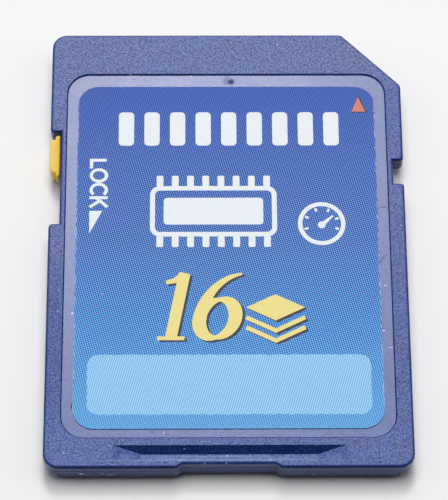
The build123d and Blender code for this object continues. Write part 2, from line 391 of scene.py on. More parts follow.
def lay_marks(graph: Graph, colour: Socket, marks: Sequence[Mark]) -> tuple[Socket, Value]:
    """Lay marks over a colour, one after the other.

    Args:
        graph: Node tree of the finish.
        colour: Colour without wear.
        marks: Marks from the lowest to the uppermost.

    Returns:
        The marked colour, and the share of the shine that the marks take.
    """
    dull: Value = 0.0
    for mark in marks:
        cover = mark.cover(graph)
        colour = graph.blend(cover, colour, mark.wear.tint)
        if mark.wear.dulls:
            dull = graph.calc("MAXIMUM", dull, cover)
    return colour, dull


# Broad marks and painted shade and light come first, so that the small marks lie over them
CASE_MARKS = (
    # Darker, duller bands along the side rails
    Mark(SIDE_BAND_BLUE, (-11.45, -7.50, 2.12), (1.10, 8.00, 0.14), 0.22, 0.2),
    Mark(SIDE_BAND_BLUE, (11.45, -5.00, 2.12), (1.10, 12.0, 0.14), 0.07, 0.2),
    Mark(SIDE_BAND_BLUE, (11.30, 9.20, 2.12), (1.10, 4.00, 0.14), 0.13, 0.2),
    # Painted shade along the rounded top edge of the near end wall
    Mark(DARK_WEAR_AND_SHADE, (0.00, -16.0, 1.93), (30.0, 0.20, 0.18), 0.65, 0.2),
    # Painted shade at the foot of the near end wall
    Mark(PAINTED_FOOT_SHADE, (6.00, -15.9, 0.15), (24.0, 0.60, 1.30), 0.3, 0.2),
    # Painted light on the groove floor, a painted highlight at the foot of its far slope, and painted light
    # on both end ramps
    Mark(PAINTED_LIGHT_BLUE, (-0.50, -15.22, 1.58), (9.50, 0.32, 0.10), 0.15, 0.3),
    Mark(PAINTED_LIGHT_BLUE, (-1.00, -15.06, 1.60), (4.50, 0.05, 0.05), 0.35, 0.5),
    Mark(PAINTED_LIGHT_BLUE, (-6.60, -15.24, 1.86), (1.30, 0.36, 0.40), 0.15, 0.3),
    Mark(PAINTED_LIGHT_BLUE, (6.74, -15.24, 1.86), (1.30, 0.36, 0.40), 0.15, 0.3),
    Mark(WHITE_WEAR, (-9.54, -16.0, 0.96), (0.22, 0.20, 0.16)),
    Mark(WHITE_WEAR, (-8.18, -16.0, 0.91), (0.14, 0.20, 0.08), 0.6),
    Mark(WHITE_WEAR, (-7.72, -16.0, 0.76), (0.22, 0.20, 0.09), 0.55),
    Mark(WHITE_WEAR, (-7.44, -16.0, 0.82), (0.12, 0.20, 0.10), 0.5),
    Mark(WHITE_WEAR, (-2.88, -14.62, 1.84), (0.08, 0.09, 0.14)),
    Mark(WHITE_WEAR, (-1.57, -15.70, 2.05), (0.07, 0.07, 0.10), 0.8),
    Mark(WHITE_WEAR, (-0.18, -15.70, 2.05), (0.07, 0.07, 0.10), 0.8),
    Mark(WHITE_WEAR, (-4.21, -13.60, 1.98), (0.05, 0.20, 0.05), 0.45),
    Mark(DARK_WEAR_AND_SHADE, (-4.89, -13.51, 1.98), (0.16, 0.09, 0.05), 0.45),
    Mark(DARK_WEAR_AND_SHADE, (-3.95, -13.68, 1.98), (0.15, 0.07, 0.05), 0.45),
    Mark(DARK_WEAR_AND_SHADE, (-8.21, -15.69, 2.10), (0.14, 0.05, 0.08), 0.85),
    Mark(DUST, (-10.64, -15.00, 2.10), (0.07, 0.07, 0.05), 0.8),
    Mark(DUST, (-2.40, 12.74, 2.00), (0.07, 0.07, 0.10)),
    Mark(DUST, (-6.59, 12.80, 2.06), (0.15, 0.08, 0.10), 0.85),
    Mark(DARK_WEAR_AND_SHADE, (-6.34, 12.51, 1.98), (0.26, 0.14, 0.05), 0.25),
    Mark(GATE_SMUDGE, (0.33, 12.30, 1.97), (0.38, 0.37, 0.30), 0.72, 0.15),
    Mark(GATE_SMUDGE, (0.10, 12.36, 1.97), (0.46, 0.48, 0.30), 0.52, 0.2),
    # Painted shade at the bottom of the gate dimple
    Mark(GATE_CORE_SHADE, (0.33, 12.30, 1.95), (0.15, 0.14, 0.20), 0.88, 0.2),
    Mark(DUST, (3.55, 15.17, 2.10), (0.07, 0.07, 0.05)),
    Mark(DUST, (8.53, 15.02, 2.10), (0.05, 0.05, 0.05), 0.7),
    Mark(DARK_WEAR_AND_SHADE, (11.80, 6.44, 2.10), (0.20, 0.06, 0.08)),
    Mark(DUST, (5.48, -16.0, 0.72), (0.20, 0.20, 0.05), 0.5),
    # Painted highlight along the near lip of the groove
    Mark(PAINTED_LIGHT_BLUE, (-0.40, -15.49, 2.10), (9.60, 0.09, 0.06), 0.42, 0.5),
    Mark(DUST, (-3.12, -15.50, 2.10), (0.11, 0.07, 0.05), 0.7),
    Mark(DUST, (-0.10, -15.03, 1.60), (0.07, 0.08, 0.05), 0.7),
    Mark(DUST, (2.66, -15.49, 2.10), (0.08, 0.06, 0.05), 0.7),
    Mark(DUST, (10.02, -14.81, 2.10), (0.06, 0.06, 0.05), 0.6),
    Mark(DUST, (10.47, -3.13, 1.98), (0.14, 0.06, 0.05), 0.55),
    Mark(DUST, (10.68, -7.62, 1.98), (0.28, 0.06, 0.05), 0.45),
    Mark(WHITE_WEAR, (10.25, -6.40, 1.98), (0.11, 0.07, 0.05)),
    Mark(DARK_WEAR_AND_SHADE, (10.19, -6.27, 1.98), (0.10, 0.07, 0.05), 0.8),
    Mark(DARK_WEAR_AND_SHADE, (10.50, 2.66, 1.98), (0.34, 0.07, 0.05), 0.8),
    Mark(WHITE_WEAR, (-10.28, -5.12, 1.98), (0.15, 0.10, 0.05), 0.7),
    Mark(DARK_WEAR_AND_SHADE, (-10.20, -11.72, 1.98), (0.08, 0.34, 0.08), 0.85),
    Mark(DUST, (-11.24, -5.00, 2.10), (0.07, 0.08, 0.05), 0.7),
    Mark(DUST, (-11.18, -3.48, 2.10), (0.05, 0.09, 0.05), 0.6),
    *scratch(DARK_WEAR_AND_SHADE, (10.16, -1.42, 1.98), (10.57, -0.91, 1.98), 0.05, 0.5),
)


@dataclass(frozen=True)
class CasePlastic:
    """Deep blue moulded plastic: spark-eroded outside, polished on the floor of the label recess, with
    painted shade and painted glints on walls and slopes.
    """

    name: str = Slot.CASE.value
    deep: Colour = srgb(20, 51, 128)
    pale: Colour = srgb(44, 78, 157)
    tone_span: Pair = (0.30, 0.70)
    grain_size: float = 0.13
    grain_share: float = 0.6
    grain_depth: float = 0.016
    grain_roughness: float = 0.55
    grain_specular: float = 0.94
    handled_specular: float = 0.70
    polish_roughness: float = 0.24
    polish_specular: float = 0.385
    cloud_size: float = 1.4
    cloud_gloss: float = 0.06
    sparkle: float = 3.15
    glint_size: float = 0.10
    glint_span: Pair = (0.59, 0.73)
    glint: float = 1.3
    floor_top: float = 2.02
    floor_bottom: float = 1.93
    floor_half_width: float = 10.88
    floor_near: float = -13.92
    floor_far: float = 12.82
    floor_edge: float = 0.02
    level_span: Pair = (0.80, 0.95)
    # Painted shade: walls and round edges get a darker base colour
    wall_shade: float = 0.68
    wall_grain: float = 0.03
    slope_span: Pair = (0.55, 0.65)
    # Painted shade: the groove slopes get a darker base colour still
    slope_shade: float = 0.88
    # Painted glints: pale flecks on the grain of the slopes
    painted_glint_span: Pair = (0.47, 0.72)
    painted_glint: float = 0.08

    def polished(self, graph: Graph) -> Socket:
        """1 on the floor of the label recess and 0 elsewhere: a box test with soft edges.

        Args:
            graph: Node tree of the finish.

        Returns:
            The mask.
        """
        soft = self.floor_edge
        across = graph.calc("ABSOLUTE", graph.x)
        mask = graph.ease(graph.z, self.floor_top + soft, self.floor_top - soft)
        for value, outside, inside in (
            (graph.z, self.floor_bottom - soft, self.floor_bottom + soft),
            (across, self.floor_half_width + soft, self.floor_half_width),
            (graph.y, self.floor_near - soft, self.floor_near),
            (graph.y, self.floor_far + soft, self.floor_far),
        ):
            mask = graph.times(mask, graph.ease(value, outside, inside))
        return mask

    def shine(self, graph: Graph, grain: Socket, textured: Socket) -> Socket:
        """Specular level: it rises to the contact end, which is handled least, and sparkles on the grain.

        Args:
            graph: Node tree of the finish.
            grain: Noise of the spark-eroded grain.
            textured: Mask of the spark-eroded faces.

        Returns:
            The level.
        """
        swing = graph.times(graph.less(grain, NOISE_MEAN), self.sparkle)
        points = graph.ease(graph.noise(self.glint_size, SOFT_DETAIL), *self.glint_span)
        swing = graph.plus(swing, graph.times(points, self.glint))
        gain = graph.plus(graph.times(swing, textured), 1.0)
        low, high = box_mm("front_case")
        along = graph.share(graph.y, low[1], high[1])
        grained = graph.remap(along, self.handled_specular, self.grain_specular)
        return graph.times(gain, graph.remap(textured, self.polish_specular, grained))

    def material(self) -> bpy.types.Material:
        """Blue plastic whose grain, gloss and marks follow the place and slope of each face, with painted
        shade on walls and slopes.

        Returns:
            The material.
        """
        graph = Graph(self.name)
        height = graph.calc("ABSOLUTE", graph.split(graph.facing)[2])
        level = graph.ease(height, *self.level_span)
        rough = graph.times(level, graph.less(1.0, self.polished(graph)))
        textured = graph.remap(rough, self.wall_grain, 1.0)
        sloped = graph.times(graph.ease(height, *self.slope_span), graph.less(1.0, level))
        grain = graph.noise(self.grain_size, FINE_DETAIL)
        cloud = graph.noise(self.cloud_size)
        tone = graph.plus(graph.times(grain, self.grain_share), graph.times(cloud, 1.0 - self.grain_share))
        colour = graph.blend(graph.ease(tone, *self.tone_span), self.deep, self.pale)
        # Painted shade on walls and round edges, then on the slopes
        colour = graph.scaled(colour, graph.remap(level, self.wall_shade, 1.0))
        colour = graph.scaled(colour, graph.remap(sloped, 1.0, self.slope_shade))
        # Painted glints on the slopes
        painted_glints = graph.times(graph.ease(grain, *self.painted_glint_span), sloped)
        colour = graph.blend(graph.times(painted_glints, self.painted_glint), colour, PAINTED_LIGHT_BLUE.tint)
        colour, dull = lay_marks(graph, colour, CASE_MARKS)
        graph.shade("Base Color", colour)
        shine = self.shine(graph, grain, textured)
        graph.shade("Specular IOR Level", graph.times(shine, graph.less(1.0, dull)))
        gloss = graph.remap(textured, self.polish_roughness, self.grain_roughness)
        wear = graph.times(graph.less(cloud, NOISE_MEAN), self.cloud_gloss)
        graph.shade("Roughness", graph.plus(gloss, wear))
        graph.bump(graph.times(grain, textured), self.grain_depth)
        return graph.material


@dataclass(frozen=True)
class SliderPlastic:
    """Translucent yellow plastic of the lock slider, with painted brown shade where it meets the notch wall.
    """

    name: str = Slot.SLIDER.value
    pale: Colour = srgb(238, 205, 90)
    warm: Colour = srgb(241, 194, 77)
    shadow: Colour = srgb(184, 116, 40)
    tab_width: float = 0.66
    warm_start: float = 0.1
    warm_drift: float = 0.30
    cloud_size: float = 0.8
    # Strength, span and drift of the painted shade along the notch wall
    crease_shade: float = 0.65
    crease_shade_span: Pair = (-0.06, 0.08)
    crease_shade_drift: float = 0.08
    grain_size: float = 0.18
    grain_depth: float = 0.004
    roughness: Pair = (0.34, 0.52)
    specular: float = 0.25
    translucency: float = 1.0
    bleed: float = 0.8
    bleed_radii: Place = (0.9, 0.8, 0.35)

    def material(self) -> bpy.types.Material:
        """Yellow that warms towards the slider's inner edge, with painted brown shade along it.

        Returns:
            The material.
        """
        graph = Graph(self.name)
        outer = float(box_mm("lock_slider")[0][0])
        inner = outer + self.tab_width
        grain = graph.noise(self.grain_size, FINE_DETAIL)
        cloud = graph.noise(self.cloud_size)
        drift = graph.plus(graph.x, graph.times(cloud, self.warm_drift))
        colour = graph.blend(graph.ease(drift, outer + self.warm_start, inner), self.pale, self.warm)
        # Painted shade, brown, where the slider meets the notch wall
        crease_place = graph.plus(graph.x, graph.times(grain, self.crease_shade_drift))
        crease_shaded = graph.ease(crease_place, inner + self.crease_shade_span[0], inner + self.crease_shade_span[1])
        colour = graph.blend(graph.times(crease_shaded, self.crease_shade), colour, self.shadow)
        graph.shade("Base Color", colour)
        graph.shade("Roughness", graph.remap(grain, *self.roughness))
        graph.shade("Specular IOR Level", self.specular)
        graph.shade("Subsurface Weight", self.translucency)
        graph.shade("Subsurface Radius", self.bleed_radii)
        graph.shade("Subsurface Scale", self.bleed * MM)
        graph.bump(grain, self.grain_depth)
        return graph.material


@dataclass(frozen=True)
class LabelFilm:
    """Printed film: a blue that lightens to the near end, in dots, with a pale writing panel."""

    name: str = Slot.LABEL.value
    blues: tuple[tuple[float, Colour], ...] = (
        (0.0, srgb(99, 166, 223)),
        (0.30, srgb(78, 142, 208)),
        (0.55, srgb(75, 119, 190)),
        (1.0, srgb(65, 95, 177)),
    )
    panel_blue: Colour = srgb(146, 199, 239)
    dot_pitch: float = 0.146
    dot_turn: float = 15.0
    panel_turn: float = -15.0
    blue_cross: float = 0.85
    panel_cross: float = 0.55
    blue_contrast: Place = (1.80, 1.05, 0.56)
    panel_contrast: Place = (0.40, 0.25, 0.13)
    contrast_peak: float = 0.55
    contrast_fall: float = 2.25
    panel_centre: Place = (0.06, -10.23, 2.06)
    panel_half: Pair = (9.28, 2.10)
    panel_radius: float = 0.75
    panel_ragged: float = 0.07
    panel_wave: float = 0.32
    panel_edge: float = 0.03
    bare: Colour = srgb(214, 224, 242)
    fray: float = 0.65
    fray_width: float = 0.10
    fray_size: float = 0.20
    fray_span: Pair = (0.48, 0.60)
    peel_size: float = 0.35
    peel_depth: float = 0.003
    roughness: Pair = (0.42, 0.54)
    specular: float = 0.12
    marks: tuple[Mark, ...] = (
        Mark(WHITE_WEAR, (-8.32, -3.75, 2.06), (0.10, 0.05, 0.05)),
        Mark(WHITE_WEAR, (10.10, 10.01, 2.06), (0.06, 0.06, 0.05)),
        Mark(WHITE_WEAR, (10.12, 9.55, 2.06), (0.04, 0.07, 0.05), 0.6),
    )

    def panel(self, graph: Graph) -> Socket:
        """1 on the writing panel: the distance to a rounded box, made ragged by noise.

        Args:
            graph: Node tree of the finish.

        Returns:
            The mask.
        """
        radius = self.panel_radius
        offset = graph.vector("SUBTRACT", graph.place, self.panel_centre)
        core = (self.panel_half[0] - radius, self.panel_half[1] - radius, 1.0)
        past = graph.vector("SUBTRACT", graph.vector("ABSOLUTE", offset), core)
        far = graph.length(graph.vector("MAXIMUM", past, ZEROS))
        wave = graph.times(graph.noise(self.panel_wave, SOFT_DETAIL), self.panel_ragged / NOISE_MEAN)
        limit = radius + self.panel_ragged
        return graph.ease(graph.plus(far, wave), limit + self.panel_edge, limit - self.panel_edge)

    def frayed(self, graph: Graph, half_width: float) -> Socket:
        """How bare the film is along its side edges: a thin band, broken into bits by noise.

        Args:
            graph: Node tree of the finish.
            half_width: Half the width of the label.

        Returns:
            A number from 0 to the strength of the fray.
        """
        reach = graph.calc("ABSOLUTE", graph.x)
        band = graph.ease(reach, half_width - self.fray_width, half_width)
        bits = graph.ease(graph.noise(self.fray_size), *self.fray_span)
        return graph.times(graph.times(band, bits), self.fray)

    def dots(self, graph: Graph, colour: Paint, screen: Socket, contrast: Place) -> Socket:
        """Colour times one plus the screen, with its own contrast in each channel."""
        gain = graph.vector("ADD", graph.scaled(contrast, screen), ONES)
        return graph.vector("MULTIPLY", colour, graph.vector("MAXIMUM", gain, ZEROS))

    def material(self) -> bpy.types.Material:
        """Gradient, print screen and panel on a satin film.

        The contrast of the blue dots falls with the square of the distance to its peak.

        Returns:
            The material.
        """
        graph = Graph(self.name)
        low, high = box_mm("front_label")
        share = graph.share(graph.y, low[1], high[1])
        away = graph.calc("ABSOLUTE", graph.less(share, self.contrast_peak))
        fall = graph.times(graph.calc("POWER", away, 2.0), self.contrast_fall)
        screen = graph.screen(self.dot_pitch, self.dot_turn, self.blue_cross)
        screen = graph.times(screen, graph.less(1.0, fall))
        blue = self.dots(graph, graph.ramp(share, self.blues), screen, self.blue_contrast)
        panel_screen = graph.screen(self.dot_pitch, self.panel_turn, self.panel_cross)
        pale = self.dots(graph, self.panel_blue[:3], panel_screen, self.panel_contrast)
        colour = graph.blend(self.panel(graph), blue, pale)
        colour = graph.blend(self.frayed(graph, high[0]), colour, self.bare)
        colour, _ = lay_marks(graph, colour, self.marks)
        graph.shade("Base Color", colour)
        peel = graph.noise(self.peel_size)
        graph.shade("Roughness", graph.remap(peel, *self.roughness))
        graph.shade("Specular IOR Level", self.specular)
        graph.bump(peel, self.peel_depth)
        return graph.material


@dataclass(frozen=True)
class Ink:
    """Printed ink with the faint dots of its own screen."""

    name: str
    tint: Colour
    contrast: float = 0.0
    turn: float = 45.0
    pitch: float = 0.150
    mottle_size: float = 0.25
    mottle: float = 0.10
    gloss_size: float = 0.3
    roughness: Pair = (0.45, 0.55)
    specular: float = 0.12

    def material(self) -> bpy.types.Material:
        """Ink colour that its screen and a fine mottle lighten and darken.

        Returns:
            The material.
        """
        graph = Graph(self.name)
        screen = graph.screen(self.pitch, self.turn, 1.0)
        mottle = graph.times(graph.less(graph.noise(self.mottle_size), NOISE_MEAN), self.mottle)
        swing = graph.plus(graph.times(screen, self.contrast), mottle)
        graph.shade("Base Color", graph.scaled(self.tint[:3], graph.plus(swing, 1.0)))
        graph.shade("Roughness", graph.remap(graph.noise(self.gloss_size), *self.roughness))
        graph.shade("Specular IOR Level", self.specular)
        return graph.material


@dataclass(frozen=True)
class Grain:
    """Noise of one size, detail and stretch."""

    size: float
    detail: float = 2.0
    stretch: Place = ONES

    def value(self, graph: Graph) -> Socket:
        """Noise from 0 to 1."""
        return graph.noise(self.size, self.detail, self.stretch)


@dataclass(frozen=True)
class Mottled:
    """Finish whose tone follows one noise, and whose gloss and relief follow another."""

    name: str
    deep: Colour
    light: Colour
    tone: Grain
    gloss: Grain
    roughness: Pair
    tone_span: Pair = (0.3, 0.7)
    metallic: float = 0.0
    relief: float = 0.0

    def material(self) -> bpy.types.Material:
        """Two tones in patches, under a gloss that varies.

        Returns:
            The material.
        """
        graph = Graph(self.name)
        patches = graph.ease(self.tone.value(graph), *self.tone_span)
        graph.shade("Base Color", graph.blend(patches, self.deep, self.light))
        gloss = self.gloss.value(graph)
        graph.shade("Roughness", graph.remap(gloss, *self.roughness))
        graph.shade("Metallic", self.metallic)
        if self.relief > 0.0:
            graph.bump(gloss, self.relief)
        return graph.material


# Gold with fine wipe scratches along the card
GOLD_PLATE = Mottled(
    Slot.GOLD.value, srgb(208, 158, 70), srgb(236, 196, 108), tone=Grain(0.9),
    gloss=Grain(0.05, FINE_DETAIL, (1.0, 40.0, 1.0)), roughness=(0.16, 0.42), metallic=1.0, relief=0.002,
)
# Black epoxy with a fine filler grain
MOULDED_RESIN = Mottled(
    Slot.PACKAGE.value, srgb(24, 24, 26), srgb(44, 44, 46), tone=Grain(0.09, FINE_DETAIL),
    gloss=Grain(0.09, FINE_DETAIL), roughness=(0.55, 0.75), tone_span=(0.35, 0.7), relief=0.008,
)
# Bright tin with a soft crystalline mottle
TINNED_METAL = Mottled(
    Slot.LEADS.value, srgb(160, 160, 158), srgb(206, 206, 204), tone=Grain(0.12),
    gloss=Grain(0.12), roughness=(0.25, 0.45), metallic=1.0,
)


@dataclass(frozen=True)
class SolderMask:
    """Green board lacquer over fine copper tracks."""

    name: str = Slot.BOARD.value
    lacquer: Colour = srgb(24, 84, 52)
    track: Colour = srgb(44, 122, 74)
    track_pitch: float = 0.55
    track_span: Pair = (0.2, 0.6)
    track_height: float = 0.012
    bend_size: float = 3.0
    bend: float = 14.0
    gloss_size: float = 0.4
    roughness: Pair = (0.28, 0.42)

    def material(self) -> bpy.types.Material:
        """Lacquer that is lighter over the tracks: waves bent by noise.

        Returns:
            The material.
        """
        graph = Graph(self.name)
        bend = graph.times(graph.noise(self.bend_size, SOFT_DETAIL), self.bend)
        phase = graph.plus(graph.times(graph.x, math.tau / self.track_pitch), bend)
        over = graph.ease(graph.calc("SINE", phase), *self.track_span)
        graph.shade("Base Color", graph.blend(over, self.lacquer, self.track))
        graph.shade("Roughness", graph.remap(graph.noise(self.gloss_size), *self.roughness))
        graph.bump(over, self.track_height)
        return graph.material


@dataclass(frozen=True)
class ChipCeramic:
    """Ceramic chip part with tinned caps on both ends."""

    name: str
    pattern_node: str
    light: Colour
    deep: Colour
    cap: Colour = srgb(204, 204, 202)
    cap_length: float = 0.22
    cap_edge: float = 0.01
    grain_size: float = 0.1
    gloss_size: float = 0.15
    roughness: Pair = (0.35, 0.55)

    def material(self) -> bpy.types.Material:
        """Fired body, with metal where the place along X is within a cap's length of an end.

        Returns:
            The material.
        """
        graph = Graph(self.name)
        low, high = box_mm(self.pattern_node)
        middle = float(low[0] + high[0]) / 2.0
        cap_start = float(high[0] - low[0]) / 2.0 - self.cap_length
        reach = graph.calc("ABSOLUTE", graph.less(graph.x, middle))
        metal = graph.ease(reach, cap_start - self.cap_edge, cap_start + self.cap_edge)
        fired = graph.blend(graph.noise(self.grain_size), self.deep, self.light)
        graph.shade("Base Color", graph.blend(metal, fired, self.cap))
        graph.shade("Metallic", metal)
        graph.shade("Roughness", graph.remap(graph.noise(self.gloss_size), *self.roughness))
        return graph.material


def dress(names: Iterable[str], material: bpy.types.Material) -> None:
    """Put one material in every slot of the named CAD nodes.

    Args:
        names: CAD nodes.
        material: Finish that they get.
    """
    for name in names:
        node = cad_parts[name]
        if not node.material_slots:
            node.data.materials.append(material)
        for slot in node.material_slots:
            slot.material = material
        log.info("%s is dressed in %s", name, material.name)


def nodes_like(prefix: str) -> list[str]:
    """CAD nodes whose names start with a prefix, in order."""
    return sorted(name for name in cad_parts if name.startswith(prefix))


def arc(centre: Pair, radii: Pair, start: float, end: float, count: int) -> Points:
    """Points on an ellipse: centre plus radii times cosine and sine of even angles.

    Args:
        centre: Middle of the ellipse.
        radii: Half sizes along X and Y.
        start: First angle in degrees.
        end: Last angle in degrees.
        count: Number of points.

    Returns:
        Points as rows of x and y.
    """
    angles = np.radians(np.linspace(start, end, count))
    return np.array(centre) + np.array(radii) * np.column_stack((np.cos(angles), np.sin(angles)))


def ring(centre: Pair, radii: Pair, count: int) -> Points:
    """Closed ellipse without its repeated last point."""
    return arc(centre, radii, 0.0, 360.0, count + 1)[:-1]


def rounded_box(centre: Pair, half: Pair, radius: float, count: int = 7) -> Points:
    """Outline of a rectangle with round corners: four quarter circles in turn.

    Args:
        centre: Middle of the rectangle.
        half: Half its width and height.
        radius: Radius of the corners.
        count: Points on each corner.

    Returns:
        Closed outline as rows of x and y.
    """
    corners = []
    for turn, signs in enumerate(((1, 1), (-1, 1), (-1, -1), (1, -1))):
        middle = np.array(centre) + np.array(signs) * (np.array(half) - radius)
        corners.append(arc(tuple(middle), (radius, radius), 90.0 * turn, 90.0 * (turn + 1), count))
    return np.vstack(corners)


def nib(path: Points, thick: float, thin: float, angle: float) -> Points:
    """Widths of a broad pen: thin along its angle and thick across it.

    Args:
        path: Points of the stroke.
        thick: Greatest width.
        thin: Least width.
        angle: Angle of the pen in degrees.

    Returns:
        One width for each point.
    """
    run = np.gradient(path, axis=0)
    turn = np.arctan2(run[:, 1], run[:, 0]) - math.radians(angle)
    return thin + (thick - thin) * np.abs(np.sin(turn))


def put_mesh(name: str, points: Points, faces: Indices, material: bpy.types.Material) -> bpy.types.Object:
    """Mesh object of triangles, at the origin, with its place in its vertices.

    Args:
        name: Name of the object and its mesh.
        points: Vertices in metres.
        faces: Vertex indices of each triangle.
        material: Finish of the whole mesh.

    Returns:
        The object, linked to the scene.
    """
    mesh = bpy.data.meshes.new(name)
    mesh.vertices.add(len(points))
    mesh.vertices.foreach_set("co", points.astype(np.float32).ravel())
    mesh.loops.add(faces.size)
    mesh.loops.foreach_set("vertex_index", faces.astype(np.int32).ravel())
    mesh.polygons.add(len(faces))
    mesh.polygons.foreach_set("loop_start", np.arange(0, faces.size, 3, dtype=np.int32))
    mesh.update(calc_edges=True)
    mesh.shade_flat()
    mesh.validate()
    mesh.materials.append(material)
    made = bpy.data.objects.new(name, mesh)
    bpy.context.scene.collection.objects.link(made)
    return made


@dataclass
class Print:
    """Printed shapes of one ink, merged into one thin closed mesh on the film."""

    name: str
    ink: bpy.types.Material
    film_top: float
    rise: float
    shift: Pair = (0.0, 0.0)
    sink: float = 0.002
    join: float = 1e-5
    shapes: list[Points] = field(default_factory=list)

    def fill(self, outline: Points) -> None:
        """Add one filled outline."""
        self.shapes.append(outline)

    def stroke(self, path: Points, width: Union[float, Points], closed: bool = False) -> None:
        """Add a stroke as a quad for each step of its path, mitred where the path turns.

        The side offset at a point is the sum of the two segment normals over one plus their dot
        product, times half the width.

        Args:
            path: Points of the middle line.
            width: One width, or one for each point.
            closed: True if the last point joins the first.
        """
        count = len(path)
        steps = np.roll(path, -1, axis=0) - path
        normals = np.column_stack((-steps[:, 1], steps[:, 0]))
        normals /= np.maximum(np.linalg.norm(normals, axis=1, keepdims=True), TINY)
        if not closed:
            normals[-1] = normals[-2]
        before = np.roll(normals, 1, axis=0)
        if not closed:
            before[0] = normals[0]
        turn = 1.0 + np.sum(before * normals, axis=1, keepdims=True)
        side = (before + normals) / turn * (np.broadcast_to(width, (count,)) / 2.0)[:, None]
        right = path - side
        left = path + side
        quads = np.stack((right, np.roll(right, -1, axis=0), np.roll(left, -1, axis=0), left), axis=1)
        self.shapes.extend(quads if closed else quads[:-1])

    def merged(self) -> tuple[Points, Indices]:
        """Union of the shapes: the constrained Delaunay triangles that lie in any of them.

        Returns:
            Points as rows of x and y, and triangles as rows of three indices.
        """
        points = np.vstack(self.shapes) + np.array(self.shift)
        sizes = [len(shape) for shape in self.shapes]
        loops = [part.tolist() for part in np.split(np.arange(len(points)), np.cumsum(sizes)[:-1])]
        corners = [Vector(point) for point in points.tolist()]
        found = delaunay_2d_cdt(corners, [], loops, 0, self.join, True)
        inside = [face for face, sources in zip(found[2], found[5]) if sources]
        return np.array([tuple(corner) for corner in found[0]]), np.array(inside)

    def build(self) -> bpy.types.Object:
        """Raise the union into a thin sheet with walls along its rim, and let it ride with the card.

        An edge is on the rim if no triangle runs along it the other way.

        Returns:
            The printed piece.
        """
        plan, top = self.merged()
        count = len(plan)
        edges = np.vstack((top[:, (0, 1)], top[:, (1, 2)], top[:, (2, 0)]))
        there = edges[:, 0] * count + edges[:, 1]
        back = edges[:, 1] * count + edges[:, 0]
        start, end = edges[~np.isin(there, back)].T
        faces = np.vstack((
            top + count,
            top[:, ::-1],
            np.column_stack((start, end, end + count)),
            np.column_stack((start, end + count, start + count)),
        ))
        heights = self.film_top + np.repeat((-self.sink, self.rise), count)
        points = np.column_stack((np.tile(plan, (2, 1)), heights))
        piece = put_mesh(self.name, points * MM, faces, self.ink)
        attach(piece, Body.CARD.value)
        log.info("%s: %d shapes, %d triangles", self.name, len(self.shapes), len(faces))
        return piece


@dataclass
class Case:
    """Both case halves and the lock slider."""

    plastic: CasePlastic = field(default_factory=CasePlastic)
    slider: SliderPlastic = field(default_factory=SliderPlastic)

    def dress(self) -> None:
        """Give the case halves their blue plastic and the slider its yellow one."""
        dress(("front_case", "back_case"), self.plastic.material())
        dress(("lock_slider",), self.slider.material())


@dataclass
class Electronics:
    """Board, contacts and chips."""

    mask: SolderMask = field(default_factory=SolderMask)
    gold: Mottled = GOLD_PLATE
    resin: Mottled = MOULDED_RESIN
    tin: Mottled = TINNED_METAL
    tan: ChipCeramic = ChipCeramic(
        Slot.CAPACITOR.value, "capacitor_1", srgb(190, 150, 108), srgb(160, 118, 80))
    black: ChipCeramic = ChipCeramic(
        Slot.RESISTOR.value, "resistor_1", srgb(58, 58, 60), srgb(32, 32, 34))

    def dress(self) -> None:
        """Give each kind of part its finish."""
        for names, finish in (
            (("circuit_board",), self.mask),
            (nodes_like("contact_pad_"), self.gold),
            (("flash_memory", "controller_chip"), self.resin),
            (("flash_leads", "controller_terminals"), self.tin),
            (nodes_like("capacitor_"), self.tan),
            (nodes_like("resistor_"), self.black),
        ):
            dress(names, finish.material())


